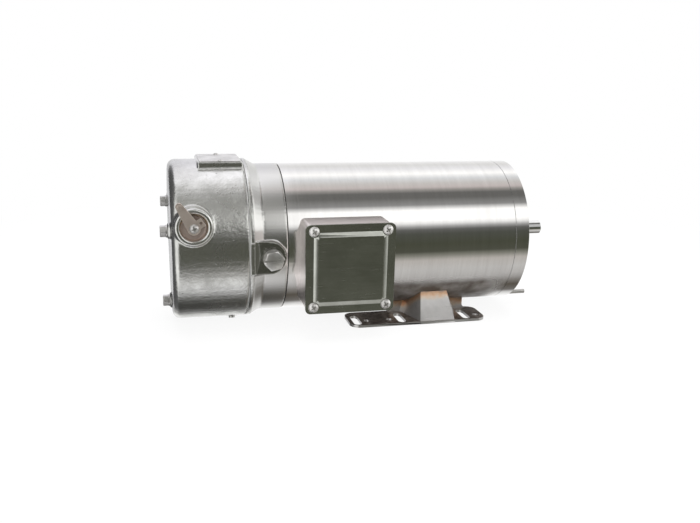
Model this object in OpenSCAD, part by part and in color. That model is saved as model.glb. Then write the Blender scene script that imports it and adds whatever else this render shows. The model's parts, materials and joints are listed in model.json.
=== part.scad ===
/* [Motor frame] */
// Outside radius of the motor frame
frame_r = 81.5; // [80:0.5:100]
// Wall of the frame tube
frame_wall = 3; // [2:0.5:4]
// Length of the frame tube
frame_len = 255.6; // [230:0.2:320]
// Gap that shows as the seam at each end of the frame
seam_gap = 0.4; // [0.2:0.1:0.6]
// Length of the drive endbell's rim
drive_rim = 15.5; // [15:0.5:20]
// Least gap from the frame to the floor
foot_clear = 7.4; // [6:0.2:14]

/* [Drive end] */
// Radius of the register on the C-face
pilot_r = 57.15; // [55:0.05:60]
// How far the register stands out of the C-face
pilot_len = 4; // [3:0.5:5]
// Radius of the circle that the four face holes lie on
face_bolt_circle_r = 74.6; // [73:0.1:75]
// Radius of each tapped face hole
face_hole_r = 4; // [3:0.1:4.5]
// Radius of the drive shaft
shaft_r = 7.9375; // [6:0.0125:10]
// How far the drive shaft stands out of the C-face
shaft_out = 52.4; // [45:0.2:65]
// Width of the keyway, whose depth is half of it
keyway_w = 4.76; // [4:0.02:5]

/* [Stator and rotor] */
// Length of the laminated core
core_len = 120; // [90:1:130]
// Distance from the C-face to the core
core_start = 62; // [58:1:70]
// Radius of the stator bore
bore_r = 45.3; // [40:0.1:50]
// Air gap between the rotor and the stator
air_gap = 0.4; // [0.35:0.05:0.8]
// Number of winding slots
slot_count = 24; // [18:6:24]
// Reach of the end windings past the core
winding_reach = 30; // [20:1:34]

/* [Brake] */
// How far the brake cover's rim stands outside the frame
cover_proud = 6; // [4.5:0.5:9]
// Length of the brake cover
cover_len = 77.7; // [76:0.1:96]
// Wall of the brake cover
cover_wall = 4; // [3:0.5:4.5]
// Radius of the rounding at the closed end of the cover
cover_round = 8; // [7:0.5:12]
// Length of the adapter between the frame and the cover
adapter_len = 40; // [38:0.5:50]
// Depth of the cover bolts' circle inside the cover's rim
cover_bolt_in = 19.5; // [18.5:0.5:21.5]
// Length of the magnet
magnet_len = 34; // [30:0.5:38]
// Distance from the magnet's edge to the friction disc's edge
disc_in = 14; // [13:0.5:17]
// Thickness of the friction disc
disc_w = 9.6; // [8:0.1:11]
// Gap that the pressure plate closes when the brake is released
plate_travel = 0.85; // [0.4:0.05:0.85]

/* [Brake release] */
// Height of the release shaft above the cover bolt below it
release_up = 7.74; // [7.74:0.02:9.74]
// Radius of the release shaft
release_r = 4; // [3:0.1:4.2]
// Length of the release lever's arm
lever_len = 26.5; // [20:0.5:32]
// Angle of the lever from straight up, towards the cover's end
lever_tilt = 32; // [10:1:45]
// Throw of the cam that lifts the pressure plate
cam_throw = 1.2; // [0.8:0.1:1.2]

/* [Terminal box] */
// Width of the terminal box cover
box_w = 94; // [90:0.5:110]
// Height of the terminal box cover
box_h = 93.5; // [88:0.5:98]
// Depth of the terminal box, from the frame to its open rim
box_depth = 28.5; // [26:0.5:45]
// Wall of the terminal box
box_wall = 3; // [2:0.5:4]
// Distance from the frame's brake end to the middle of the box
box_from_end = 58.5; // [55:0.5:80]
// Height of the box's middle above the motor axis
box_z = -10.75; // [-12:0.25:0]
// Radius of the threaded conduit entry in the box's floor
entry_r = 10.7; // [8:0.1:11.5]

/* [Feet] */
// Thickness of the foot plates
foot_t = 3; // [2:0.25:4]
// Length of each foot plate
foot_len = 158; // [155:1:170]
// Distance from the C-face to the near end of the foot plates
foot_start = 43; // [40:1:46]
// Distance between the middles of the two feet's slots
slot_gauge = 119; // [116:0.2:126]
// Width of the foot slots
slot_w = 8.8; // [7:0.2:10]
// Length of the foot slots, end to end
slot_len = 30; // [20:0.5:31]

/* [Fits] */
// Radial clearance where a piece is pressed or screwed in
seat_gap = 0.05; // [0.02:0.01:0.08]
// Radial clearance of a turning shaft in its bush or seal
run_gap = 0.06; // [0.03:0.01:0.1]
// Clearance beside a piece that slides
slide_gap = 0.4; // [0.3:0.05:0.5]
// Clearance at each face of the friction disc
disc_gap = 0.05; // [0.02:0.01:0.1]

/* [Hidden] */
$fn = 64;

eps = 0.5;

// Radii that follow the frame
cover_r = frame_r + cover_proud;
bolt_r = 3.1;
bolt_clear = 0.9;
cover_bolt_circle_r = cover_r - cover_bolt_in;
magnet_r = cover_bolt_circle_r - bolt_r - bolt_clear;
disc_r = magnet_r - disc_in;
box_reach = frame_r + box_depth;

// Stations along the shaft axis
frame_x1 = -drive_rim - seam_gap;
frame_x0 = frame_x1 - frame_len;
adapter_x1 = frame_x0 - seam_gap;
adapter_x0 = adapter_x1 - adapter_len;
gasket_t = 0.8;
cover_x1 = adapter_x0 - gasket_t;
cover_x0 = cover_x1 - cover_len;
core_x1 = -core_start;
core_x0 = core_x1 - core_len;

// Frame and endbells
frame_bore_r = frame_r - frame_wall;
spigot_r = frame_bore_r - seat_gap;
spigot_wall = 3.4;
drive_spigot_len = 6.5;
face_plate_t = 12;
face_hole_deep = 14;
face_hole_angle = 45;
tie_r = 2.4;
tie_circle_r = frame_r - 9.5;
tie_angle = 20;
tie_head_r = 4.4;
tie_head_h = 4;
tie_sink = 5;
tie_lug_r = 5;
tie_lug_len = 14;
pilot_wall = 7;
drain_angle = 255;
drain_circle_r = frame_r - 4;
drain_r = 2.5;
drain_bore_r = 1.4;
drain_out = 29;
drain_deep = 8;

// Bearings: bore, outside and ball circle radii, ball radius, width and count
drive_brg_x = -14;
keyway_turn = 57;
tail_r = shaft_r - 0.4375;
drive_bore = shaft_r + 4.5625;
rear_bore = shaft_r + 0.5625;
drive_brg = [drive_bore, drive_bore + 13.5, drive_bore + 6.75, 3.97, 15, 9];
rear_brg = [rear_bore, rear_bore + 11.5, rear_bore + 5.75, 3.37, 12, 8];
groove_gap = 0.13;
brg_wall = 7;
cage_t = 1.1;
seal_r = drive_bore + 7.5;
seal_x0 = -9;
seal_x1 = -2;
seal_land_r = drive_bore - 1.5;
shoulder_r = drive_bore + 4.5;
slinger_r = shaft_r + 10;
slinger_x0 = -0.6;
slinger_x1 = 3.4;

// Adapter
web_t = 8;
brake_face_x = adapter_x0 + 6.5;
web_x1 = brake_face_x + web_t;
barrel_wall = 4.5;
cone_x0 = adapter_x0 + 4.5;
cone_len = 10.7;
rear_brg_x = web_x1 + 17;
spring_seat = 2;
spring_seat_x = rear_brg_x - rear_brg[4] - spring_seat;
rear_hub_r = rear_brg[1] + brg_wall;
rear_clear_r = shaft_r + 4;
pad_y = -(frame_r + 4);
pad_half_h = 17.5;
pad_mid_x = adapter_x1 - 20;
pad_mid_z = -4;
plug_x = adapter_x1 - 16.5;
plug_z = -5;
plug_af = 19;
plug_h = 8;
plug_shank_r = 6;
plug_washer_r = 10.6;
plug_washer_t = 1.4;

// Brake stack, from the adapter to the closed end
plate_t = 3;
stack_x0 = brake_face_x - plate_t;
disc_x1 = stack_x0 - disc_gap;
disc_x0 = disc_x1 - disc_w;
armature_t = 6.4;
armature_x1 = disc_x0 - disc_gap;
armature_x0 = armature_x1 - armature_t;
magnet_x1 = armature_x0 - plate_travel;
magnet_x0 = magnet_x1 - magnet_len;
brake_bore_r = shaft_r + 12;
magnet_bore_r = shaft_r + 6;
coil_in_r = disc_r - 14;
coil_out_r = disc_r;
coil_deep = 24;
coil_gap = 0.3;
stud_circle_r = magnet_r - 7;
stud_r = 3;
stud_angles = [90, 210, 330];
spacer_r = 5;
stud_nut_h = 5;
stud_thread = 7;
spring_angles = [0, 60, 120, 180, 240, 300];
spring_r = 3.8;
spring_pocket_r = 4.2;
spring_deep = 20;
coil_turns = 6;

// Hub and the end of the shaft
hub_square = 2 * tail_r + 9;
hub_len = 13;
hub_x1 = brake_face_x - 1;
hub_x0 = hub_x1 - hub_len;
hub_key_w = 3.2;
hub_gap = 0.1;
clip_t = 1.2;
clip_r = tail_r + 3;
clip_groove_r = tail_r - 0.5;
shaft_end_x = hub_x0 - clip_t - 1.5;

// Release gear
release_x = cover_x0 + 22;
bolt_angles = [27, 160, 262];
release_z = cover_bolt_circle_r * sin(bolt_angles[1]) + release_up;
cam_r = 6.5;
cam_w = 20;
cam_rest_gap = 0.3;
bridge_t = 4;
bridge_x1 = release_x - cam_r - cam_rest_gap;
bridge_x0 = bridge_x1 - bridge_t;
bridge_w = 60;
bridge_low = release_z - 15;
bridge_high = release_z + 5;
pin_y = 24;
pin_z = release_z - 11;
pin_r = 2.5;
pin_seat = 5.6;
nut_h = 4;
bracket_t = 2;
bracket_low = release_z - 6;
bracket_high = release_z + 8;
lug_y = 40;
lug_w = 8;
release_end_y = lug_y + lug_w / 2 + 1;

// Lever boss on the side of the cover
boss_r = 19.7;
boss_face_y = -(cover_r + 1.5);
boss_in_y = -(magnet_r + 6);
boss_recess_r = 13.3;
boss_rim_r = (boss_r - boss_recess_r) / 2;
boss_recess = 6;
bush_r = 6.5;
bush_h = 2.5;
lever_gap = 0.5;
lever_t = 3;
lever_hub_r = 6.6;
lever_tip_r = 3.6;
lever_y1 = boss_face_y - lever_gap;
lever_y0 = lever_y1 - lever_t;
lever_screw_r = 2;
lever_screw_deep = 12;
ear_len = 11.5;
ear_w = 9;
ear_hole_r = 1.6;
dimple_r = 2;
dimple_h = 0.8;

// Cover fittings
cover_end_r = cover_r - 0.3;
bolt_af = 11;
bolt_head_h = 5.8;
bolt_washer_r = 6.6;
bolt_washer_t = 1.6;
bolt_pad_r = 8.4;
bolt_stand = [0.6, 3.6, 2.2];
bolt_thread = 6.5;
plate_pad_z = cover_r + 0.7;
plate_pad_w = 47;
plate_pad_half = 31;
plate_pad_x1 = cover_x1;
name_t = 0.8;
name_inset = 1.5;
name_screw_y = 27;
name_screw_r = 1.6;
cover_drain_x = cover_x1 - 13.3;
cover_drain_r = 3.4;
cover_drain_out = 2.6;

// Terminal box
box_x = frame_x0 + box_from_end;
box_round = 5.5;
box_inset = 1;
box_gasket_t = 1;
box_plate_t = 2.6;
box_gasket_y = -box_reach - box_gasket_t;
box_plate_y = box_gasket_y - box_plate_t;
panel_w = 68;
panel_h = 68;
panel_slope = 4.7;
panel_t = 1.8;
screw_side_in = 8.5;
screw_end_in = 7;
screw_r = 1.9;
screw_head_r = 5.6;
screw_head_h = 2.9;
screw_len = 16;
post_r = 5;
lead_r = 12;
lead_z = -10;
entry_y = -box_reach + 13;
entry_boss = 6;
saddle_r = frame_r + seat_gap;
block_w = 44;
block_h = 16;
block_t = 12;
block_z = 6;
ground_z = -35;
ground_r = 2;

// Feet
base_z = -(frame_r + foot_clear);
foot_front_y = -slot_gauge / 2 - 17.5;
foot_back_y = -33;
foot_round = 11;
slot_y = slot_gauge / 2;
slot_stations = [22.3, 98.5, 149.3];
small_stations = [8.5, 111.2, 137.4];
small_hole_r = 3.6;
small_hole_y = 63;
web_y = -36;
web_len = 88;
web_rise = 10;
web_fillet = 5;
gusset_mid = 58.5;
gusset_front = 41;
gusset_back = 68;
gusset_top_w = 31;
gusset_angle = 44.75;
gusset_top_z = -(frame_r + 0.9) * sin(gusset_angle);
gusset_top_y = -(frame_r + 0.9) * cos(gusset_angle);

// Core and winding
slot_in_r = bore_r + 2;
slot_out_r = tie_circle_r - 11;
winding_slot_w = 6;
mouth_w = 2;
winding_out_r = tie_circle_r - 5;
winding_gap = 0.3;
journal_r = drive_bore + 1.5;
core_seat_r = drive_bore + 3.5;
end_ring_len = 12;

module rod_x(x0, x1, r) {
    translate([x0, 0, 0]) rotate([0, 90, 0]) cylinder(h = x1 - x0, r = r);
}

module ring_x(x0, x1, r_in, r_out) {
    difference() {
        rod_x(x0, x1, r_out);
        rod_x(x0 - eps, x1 + eps, r_in);
    }
}

module cone_x(x0, x1, r0, r1) {
    translate([x0, 0, 0]) rotate([0, 90, 0]) cylinder(h = x1 - x0, r1 = r0, r2 = r1);
}

module rod_y(y0, y1, r) {
    translate([0, y0, 0]) rotate([-90, 0, 0]) cylinder(h = y1 - y0, r = r);
}

module hex_x(x0, x1, af) {
    translate([x0, 0, 0]) rotate([0, 90, 0]) cylinder(h = x1 - x0, r = af / sqrt(3), $fn = 6);
}

// Turns a profile of radius and station points about the shaft axis
module turned() {
    rotate([0, 90, 0]) rotate_extrude() children();
}

// Places children at an angle from +Y towards +Z, out at a radius
module at_angle(angle, radius) {
    rotate([angle, 0, 0]) translate([0, radius, 0]) children();
}

module round_rect(w, h, r) {
    square([w - 2 * r, h], center = true);
    square([w, h - 2 * r], center = true);
    for (x = [-1, 1], y = [-1, 1]) translate([x * (w / 2 - r), y * (h / 2 - r)]) circle(r = r);
}

// A rounded slab that faces the viewer's side, from y0 to y1
module slab_y(w, h, r, y0, y1) {
    translate([0, y1, 0]) rotate([90, 0, 0]) linear_extrude(height = y1 - y0) round_rect(w, h, r);
}

// Cross cut for a driver, in a head whose face lies at z = 0
module cross_cut(reach, deep) {
    for (a = [0, 90]) rotate([0, 0, a]) translate([-reach / 2, -0.6, -deep]) cube([reach, 1.2, deep + eps]);
}

// Domed head on the z = 0 plane, with a cross cut
module pan_head(r, h) {
    dome = (r * r + h * h) / (2 * h);
    difference() {
        intersection() {
            cylinder(h = h, r = r * 0.97);
            translate([0, 0, h - dome]) sphere(r = dome);
        }
        translate([0, 0, h]) cross_cut(r * 1.1, h * 0.55);
    }
}

module frame_shell() {
    color("silver") difference() {
        ring_x(frame_x0, frame_x1, frame_bore_r, frame_r);
        translate([box_x, 0, lead_z]) rod_y(-frame_r - eps, 0, lead_r);
    }
}

module drive_endbell() {
    color("silver") difference() {
        union() {
            rod_x(-face_plate_t, 0, frame_r);
            ring_x(-drive_rim, -face_plate_t, frame_r - 12, frame_r);
            ring_x(-drive_rim - drive_spigot_len, -drive_rim, spigot_r - spigot_wall, spigot_r);
            rod_x(drive_brg_x - drive_brg[4] - 1, -face_plate_t, drive_brg[1] + brg_wall);
            ring_x(0, pilot_len, pilot_r - pilot_wall, pilot_r);
        }
        rod_x(drive_brg_x - drive_brg[4] - 1 - eps, drive_brg_x, drive_brg[1] + seat_gap);
        rod_x(drive_brg_x - eps, eps, shoulder_r);
        rod_x(seal_x0, eps, seal_r + seat_gap);
        for (i = [0:3]) at_angle(face_hole_angle + 90 * i, face_bolt_circle_r)
            rod_x(-face_hole_deep, eps, face_hole_r);
        for (i = [0:3]) at_angle(tie_angle + 90 * i, tie_circle_r) {
            rod_x(-drive_rim - drive_spigot_len - eps, eps, tie_r + seat_gap);
            rod_x(-tie_sink, eps, tie_head_r + 0.6);
        }
        at_angle(drain_angle, drain_circle_r) rod_x(-drain_deep, eps, drain_r + seat_gap);
    }
}

module brake_endbell() {
    color("gainsboro") difference() {
        union() {
            difference() {
                union() {
                    rod_x(cone_x0 + cone_len, adapter_x1, frame_r);
                    cone_x(cone_x0, cone_x0 + cone_len, cover_r - 0.5, frame_r - 0.5);
                    rod_x(adapter_x0, cone_x0, cover_r);
                    inlet_pad();
                }
                rod_x(web_x1, adapter_x1 + eps, frame_r - barrel_wall);
                rod_x(adapter_x0 - eps, brake_face_x, cover_r - cover_wall - 0.6);
                translate([adapter_x0 - eps, pad_y - 20, pad_mid_z - pad_half_h])
                    cube([cone_len + 4.5 + eps, 20, 2 * pad_half_h]);
            }
            ring_x(adapter_x1 - eps, frame_x0 + 7, spigot_r - spigot_wall, spigot_r);
            rod_x(web_x1 - eps, rear_brg_x + 1, rear_hub_r);
            for (i = [0:3]) at_angle(tie_angle + 90 * i, tie_circle_r)
                rod_x(web_x1 - eps, web_x1 + tie_lug_len, tie_lug_r);
        }
        rod_x(spring_seat_x, rear_brg_x + 1 + eps, rear_brg[1] + seat_gap);
        rod_x(adapter_x0, rear_brg_x, rear_clear_r);
        for (i = [0:3]) at_angle(tie_angle + 90 * i, tie_circle_r)
            rod_x(web_x1 + 4, web_x1 + tie_lug_len + eps, tie_r + seat_gap);
        for (a = bolt_angles) at_angle(a, cover_bolt_circle_r)
            rod_x(brake_face_x - eps, brake_face_x + bolt_thread, bolt_r + seat_gap);
        for (a = stud_angles) at_angle(a, stud_circle_r)
            rod_x(brake_face_x - eps, brake_face_x + stud_thread, stud_r + seat_gap);
        translate([plug_x, 0, plug_z]) rod_y(pad_y - eps, pad_y + 14, plug_shank_r + seat_gap);
    }
}

// Flat D-shaped pad that the plug screws into
module inlet_pad() {
    difference() {
        union() {
            translate([pad_mid_x, 0, pad_mid_z]) rod_y(pad_y, pad_y + 14, pad_half_h);
            translate([adapter_x0, pad_y, pad_mid_z - pad_half_h])
                cube([pad_mid_x - adapter_x0, 14, 2 * pad_half_h]);
        }
        rod_x(adapter_x0 - eps, adapter_x1 + eps, frame_r - barrel_wall);
    }
}

module stator_core() {
    color("slategray") difference() {
        ring_x(core_x0, core_x1, bore_r, spigot_r);
        for (i = [0:slot_count - 1]) rotate([i * 360 / slot_count, 0, 0]) {
            translate([core_x0 - eps, slot_in_r, -winding_slot_w / 2])
                cube([core_len + 2 * eps, slot_out_r - slot_in_r, winding_slot_w]);
            translate([core_x0 - eps, bore_r - 3, -mouth_w / 2]) cube([core_len + 2 * eps, 8, mouth_w]);
        }
        for (i = [0:3]) at_angle(tie_angle + 90 * i, tie_circle_r)
            rod_x(core_x0 - eps, core_x1 + eps, tie_r + 0.4);
    }
}

module stator_winding() {
    color("darkorange") {
        for (i = [0:slot_count - 1]) rotate([i * 360 / slot_count, 0, 0])
            translate([core_x0 - 4, slot_in_r + winding_gap, -winding_slot_w / 2 + winding_gap])
                cube([core_len + 8, slot_out_r - slot_in_r - 2 * winding_gap,
                    winding_slot_w - 2 * winding_gap]);
        turned() end_turns(core_x1 + 2);
        turned() end_turns(core_x0 - 2 - winding_reach);
    }
}

// Half section of one end winding, with rounded corners
module end_turns(x) {
    w = winding_out_r - slot_in_r - winding_gap;
    translate([slot_in_r + winding_gap + w / 2, x + winding_reach / 2]) round_rect(w, winding_reach, 6);
}

module tie_bolts() {
    color("dimgray") for (i = [0:3]) at_angle(tie_angle + 90 * i, tie_circle_r) {
        rod_x(web_x1 + 5, -tie_sink + 0.2, tie_r);
        hex_x(-tie_sink, -tie_sink + tie_head_h, tie_head_r * 1.7);
    }
}

module box_corners() {
    for (x = [-1, 1], z = [-1, 1])
        translate([x * (box_w / 2 - screw_side_in), 0, z * (box_h / 2 - screw_end_in)]) children();
}

module conduit_box() {
    color("darkgray") difference() {
        union() {
            difference() {
                translate([box_x, 0, box_z])
                    slab_y(box_w - 2 * box_inset, box_h - 2 * box_inset, box_round, -box_reach, -frame_r / 2);
                difference() {
                    translate([box_x, 0, box_z])
                        slab_y(box_w - 2 * box_inset - 2 * box_wall, box_h - 2 * box_inset - 2 * box_wall,
                            box_round - box_wall + 0.5, -box_reach - eps, -frame_r / 2);
                    rod_x(box_x - box_w, box_x + box_w, saddle_r + box_wall);
                }
            }
            intersection() {
                translate([box_x, 0, box_z]) box_corners() rod_y(-box_reach, -frame_r / 2, post_r);
                translate([box_x, 0, box_z])
                    slab_y(box_w - 2 * box_inset, box_h - 2 * box_inset, box_round, -box_reach, -frame_r / 2);
            }
            translate([box_x, entry_y, box_z - box_h / 2 + box_inset])
                cylinder(h = entry_boss, r = min(entry_r + 2, box_reach + entry_y));
        }
        rod_x(box_x - box_w, box_x + box_w, saddle_r);
        translate([box_x, 0, box_z]) box_corners()
            rod_y(-box_reach - eps, -box_reach + screw_len, screw_r + seat_gap);
        translate([box_x, 0, lead_z]) rod_y(-box_reach, 0, lead_r);
        translate([box_x, entry_y, box_z - box_h / 2]) cylinder(h = entry_boss + 2, r = entry_r);
        translate([box_x, 0, ground_z]) rod_y(-box_reach, 0, ground_r + seat_gap);
    }
}

module box_gasket() {
    color("black") translate([box_x, 0, box_z]) difference() {
        slab_y(box_w - 2 * box_inset, box_h - 2 * box_inset, box_round, box_gasket_y, -box_reach);
        difference() {
            slab_y(box_w - 16, box_h - 16, box_round, box_gasket_y - eps, -box_reach + eps);
            box_corners() rod_y(box_gasket_y - 1, -box_reach + 1, post_r + 1);
        }
        box_corners() rod_y(box_gasket_y - eps, -box_reach + eps, screw_r + 0.3);
    }
}

module box_cover() {
    color("darkgray") translate([box_x, 0, box_z]) difference() {
        union() {
            slab_y(box_w, box_h, box_round, box_plate_y, box_gasket_y);
            hull() {
                slab_y(panel_w, panel_h, 2, box_plate_y - panel_t, box_plate_y, $fn = 32);
                slab_y(panel_w + 2 * panel_slope, panel_h + 2 * panel_slope, 4, box_plate_y - 0.05,
                    box_plate_y, $fn = 32);
            }
        }
        box_corners() {
            rod_y(box_plate_y - eps, box_gasket_y + eps, screw_r + 0.3);
            rod_y(box_plate_y - panel_t - eps, box_plate_y, screw_head_r + 0.4);
        }
    }
}

module box_cover_screws() {
    color("lightgray") translate([box_x, 0, box_z]) box_corners() {
        rod_y(box_plate_y - 0.2, box_plate_y + screw_len, screw_r);
        translate([0, box_plate_y, 0]) rotate([90, 0, 0]) rotate([0, 0, 35])
            pan_head(screw_head_r, screw_head_h);
    }
}

module terminal_block() {
    back_y = -sqrt(pow(saddle_r + box_wall, 2) - pow(block_z, 2)) - 0.1;
    color("saddlebrown") translate([box_x, back_y - block_t, block_z]) difference() {
        translate([-block_w / 2, 0, 0]) cube([block_w, block_t, block_h]);
        for (i = [-2:1]) translate([i * 10 + 1.5, -eps, -eps]) cube([7, 6, block_h + 2 * eps]);
    }
}

module ground_screw() {
    head_y = -sqrt(pow(saddle_r + box_wall, 2) - pow(ground_z + 4, 2)) - 0.1;
    color("green") translate([box_x, 0, ground_z]) {
        rod_y(head_y - 0.2, head_y + 4, ground_r);
        translate([0, head_y, 0]) rotate([90, 0, 0]) pan_head(4, 2.4);
    }
}

// Level outline of the gusset: front and back half widths, and where its front lies
module gusset_level(front_half, back_half, front_y, back_y) {
    linear_extrude(height = eps)
        polygon([[-front_half, front_y], [front_half, front_y], [back_half, back_y], [-back_half, back_y]]);
}

// Three-sided pressed gusset, with its walls moved in by the given thickness
module gusset(inset) {
    low_y = foot_front_y - 0.5 + inset;
    rise = 14;
    lean = (gusset_top_y - foot_front_y) / (gusset_top_z - base_z);
    high_y = gusset_top_y + lean * rise + inset;
    back_y = web_y + inset + 1;
    splay = (gusset_back - gusset_front) / 2 / (web_y - foot_front_y);
    narrowing = (gusset_top_w - gusset_front) / 2 - splay * (gusset_top_y - foot_front_y);
    taper = narrowing / (gusset_top_z - base_z);
    drop = taper * (gusset_top_z + rise - base_z);
    low_half = gusset_front / 2 - inset;
    high_half = low_half + drop;
    translate([-foot_start - gusset_mid, 0, 0]) hull() {
        translate([0, 0, base_z + 0.01])
            gusset_level(low_half, low_half + splay * (back_y - low_y), low_y, back_y);
        translate([0, 0, gusset_top_z + rise])
            gusset_level(high_half + splay * (high_y - low_y), high_half + splay * (back_y - low_y),
                high_y, back_y);
    }
}

module foot_outline() {
    depth = foot_back_y - foot_front_y;
    translate([-foot_start - foot_len / 2, foot_front_y + depth / 2]) round_rect(foot_len, depth, foot_round);
}

module slot_cut() {
    half = (slot_len - slot_w) / 2;
    square([slot_w, 2 * half], center = true);
    for (s = [-1, 1]) translate([0, s * half]) circle(r = slot_w / 2);
}

// Upright web, with a hollow fillet where each end meets the plate
module foot_web() {
    translate([-web_len / 2, 0]) square([web_len, foot_clear + web_rise]);
    for (s = [0, 1]) mirror([s, 0]) translate([web_len / 2 - eps, 0]) difference() {
        square([web_fillet + eps, web_fillet + eps]);
        translate([web_fillet + eps, web_fillet + eps]) circle(r = web_fillet);
    }
}

module foot() {
    mid = -foot_start - gusset_mid;
    difference() {
        union() {
            translate([0, 0, base_z]) linear_extrude(height = foot_t) difference() {
                foot_outline();
                for (s = slot_stations) translate([-foot_start - s, -slot_y]) slot_cut();
                for (s = small_stations) translate([-foot_start - s, -small_hole_y]) circle(r = small_hole_r);
            }
            translate([mid, web_y + foot_t, base_z + foot_t - eps]) rotate([90, 0, 0])
                linear_extrude(height = foot_t) foot_web();
            gusset(0);
        }
        gusset(foot_t);
        rod_x(-foot_start - foot_len - 5, -foot_start + 5, saddle_r);
    }
}

module foot_front() {
    color("silver") foot();
}

module foot_rear() {
    color("silver") mirror([0, 1, 0]) foot();
}

// Groove and balls share this circle; brg holds the bearing's sizes
module race_outer(x, brg) {
    difference() {
        ring_x(x - brg[4], x, brg[2] + brg[3] - 0.7, brg[1]);
        turned() translate([brg[2], x - brg[4] / 2]) circle(r = brg[3] + groove_gap);
    }
}

module race_inner(x, brg) {
    difference() {
        ring_x(x - brg[4], x, brg[0], brg[2] - brg[3] + 0.7);
        turned() translate([brg[2], x - brg[4] / 2]) circle(r = brg[3] + groove_gap);
    }
}

module ball_set(x, brg) {
    for (i = [0:brg[5] - 1]) at_angle(i * 360 / brg[5], brg[2])
        translate([x - brg[4] / 2, 0, 0]) sphere(r = brg[3]);
}

module cage_ring(x, brg) {
    difference() {
        ring_x(x - brg[4] / 2 - brg[3] - 0.8, x - brg[4] / 2 + brg[3] + 0.8,
            brg[2] - cage_t, brg[2] + cage_t);
        for (i = [0:brg[5] - 1]) at_angle(i * 360 / brg[5], brg[2])
            translate([x - brg[4] / 2, 0, 0]) rod_y(-2 * cage_t, 2 * cage_t, brg[3] + groove_gap);
    }
}

module drive_bearing_outer() {
    color("lightsteelblue") race_outer(drive_brg_x, drive_brg);
}

module rear_bearing_outer() {
    color("lightsteelblue") race_outer(rear_brg_x, rear_brg);
}

module drive_bearing_inner() {
    color("lightsteelblue") race_inner(drive_brg_x, drive_brg);
}

module rear_bearing_inner() {
    color("lightsteelblue") race_inner(rear_brg_x, rear_brg);
}

module drive_balls() {
    color("white") ball_set(drive_brg_x, drive_brg);
}

module rear_balls() {
    color("white") ball_set(rear_brg_x, rear_brg);
}

module drive_cage() {
    color("goldenrod") cage_ring(drive_brg_x, drive_brg);
}

module rear_cage() {
    color("goldenrod") cage_ring(rear_brg_x, rear_brg);
}

// Spring washer between the rear bearing and its seat
module preload_spring() {
    x0 = spring_seat_x + 0.02;
    x1 = spring_seat_x + spring_seat - 0.02;
    r0 = rear_brg[1] - 3.2;
    r1 = rear_brg[1] - 0.4;
    color("gray") turned() polygon([[r0, x1 - 0.6], [r0, x1], [r1, x0 + 0.6], [r1, x0]]);
}

module shaft_seal() {
    color("black") difference() {
        rod_x(seal_x0 + 0.05, seal_x1, seal_r);
        rod_x(seal_x0 - eps, seal_x1 + eps, seal_land_r + run_gap);
        ring_x(seal_x0 - eps, seal_x0 + 3, seal_land_r + 2, seal_r - 2.5);
    }
}

module motor_shaft() {
    color("lightgray") difference() {
        union() {
            rod_x(slinger_x1, shaft_out - 1.2, shaft_r);
            cone_x(shaft_out - 1.2, shaft_out, shaft_r, shaft_r - 1.2);
            rod_x(drive_brg_x, slinger_x1 + 0.2, seal_land_r);
            rod_x(drive_brg_x - drive_brg[4] - 0.05, drive_brg_x + 0.2, drive_brg[0] - 0.02);
            rod_x(core_x1 - 1, drive_brg_x - drive_brg[4] - 0.05, journal_r);
            rod_x(core_x0, core_x1, core_seat_r);
            rod_x(rear_brg_x + 0.05, core_x0, journal_r);
            rod_x(rear_brg_x - rear_brg[4] - 0.2, rear_brg_x + 0.1, rear_brg[0] - 0.02);
            rod_x(shaft_end_x, rear_brg_x - rear_brg[4], tail_r);
        }
        rotate([keyway_turn, 0, 0])
            translate([slinger_x1 + 0.2, -keyway_w / 2, shaft_r - keyway_w / 2])
                cube([shaft_out, keyway_w, keyway_w]);
        translate([hub_x0, -hub_key_w / 2 - seat_gap, tail_r - hub_key_w / 2 - seat_gap])
            cube([hub_len, hub_key_w + 2 * seat_gap, hub_key_w]);
        ring_x(hub_x0 - clip_t - 0.1, hub_x0 - 0.02, clip_groove_r, tail_r + 1);
    }
}

module rotor_core() {
    color("slategray") ring_x(core_x0, core_x1, core_seat_r + seat_gap, bore_r - air_gap);
}

module rotor_end_rings() {
    color("silver") {
        ring_x(core_x1, core_x1 + end_ring_len, 28, bore_r - air_gap - 1);
        ring_x(core_x0 - end_ring_len, core_x0, 28, bore_r - air_gap - 1);
    }
}

module shaft_slinger() {
    color("black") difference() {
        cone_x(slinger_x0, slinger_x1, slinger_r, seal_land_r + 2);
        rod_x(slinger_x0 - eps, slinger_x1 + eps, seal_land_r + seat_gap);
    }
}

module brake_hub() {
    color("gray") difference() {
        translate([hub_x0, -hub_square / 2, -hub_square / 2]) cube([hub_len, hub_square, hub_square]);
        rod_x(hub_x0 - eps, hub_x1 + eps, tail_r + seat_gap);
        translate([hub_x0 - eps, -hub_key_w / 2 - seat_gap, 0])
            cube([hub_len + 2 * eps, hub_key_w + 2 * seat_gap, tail_r + hub_key_w / 2 + seat_gap]);
    }
}

module hub_key() {
    color("dimgray") translate([hub_x0 + 0.1, -hub_key_w / 2, tail_r - hub_key_w / 2])
        cube([hub_len - 0.2, hub_key_w, hub_key_w]);
}

module friction_disc() {
    color("sienna") difference() {
        rod_x(disc_x0, disc_x1, disc_r);
        translate([disc_x0 - eps, -hub_square / 2 - hub_gap, -hub_square / 2 - hub_gap])
            cube([disc_w + 2 * eps, hub_square + 2 * hub_gap, hub_square + 2 * hub_gap]);
    }
}

module hub_ring() {
    color("dimgray") ring_x(hub_x0 - clip_t - 0.05, hub_x0 - 0.05, clip_groove_r + seat_gap, clip_r);
}

module friction_plate() {
    color("gray") difference() {
        ring_x(stack_x0, brake_face_x, brake_bore_r, magnet_r - 1);
        for (a = stud_angles) at_angle(a, stud_circle_r)
            rod_x(stack_x0 - eps, brake_face_x + eps, stud_r + 0.1);
    }
}

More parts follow.
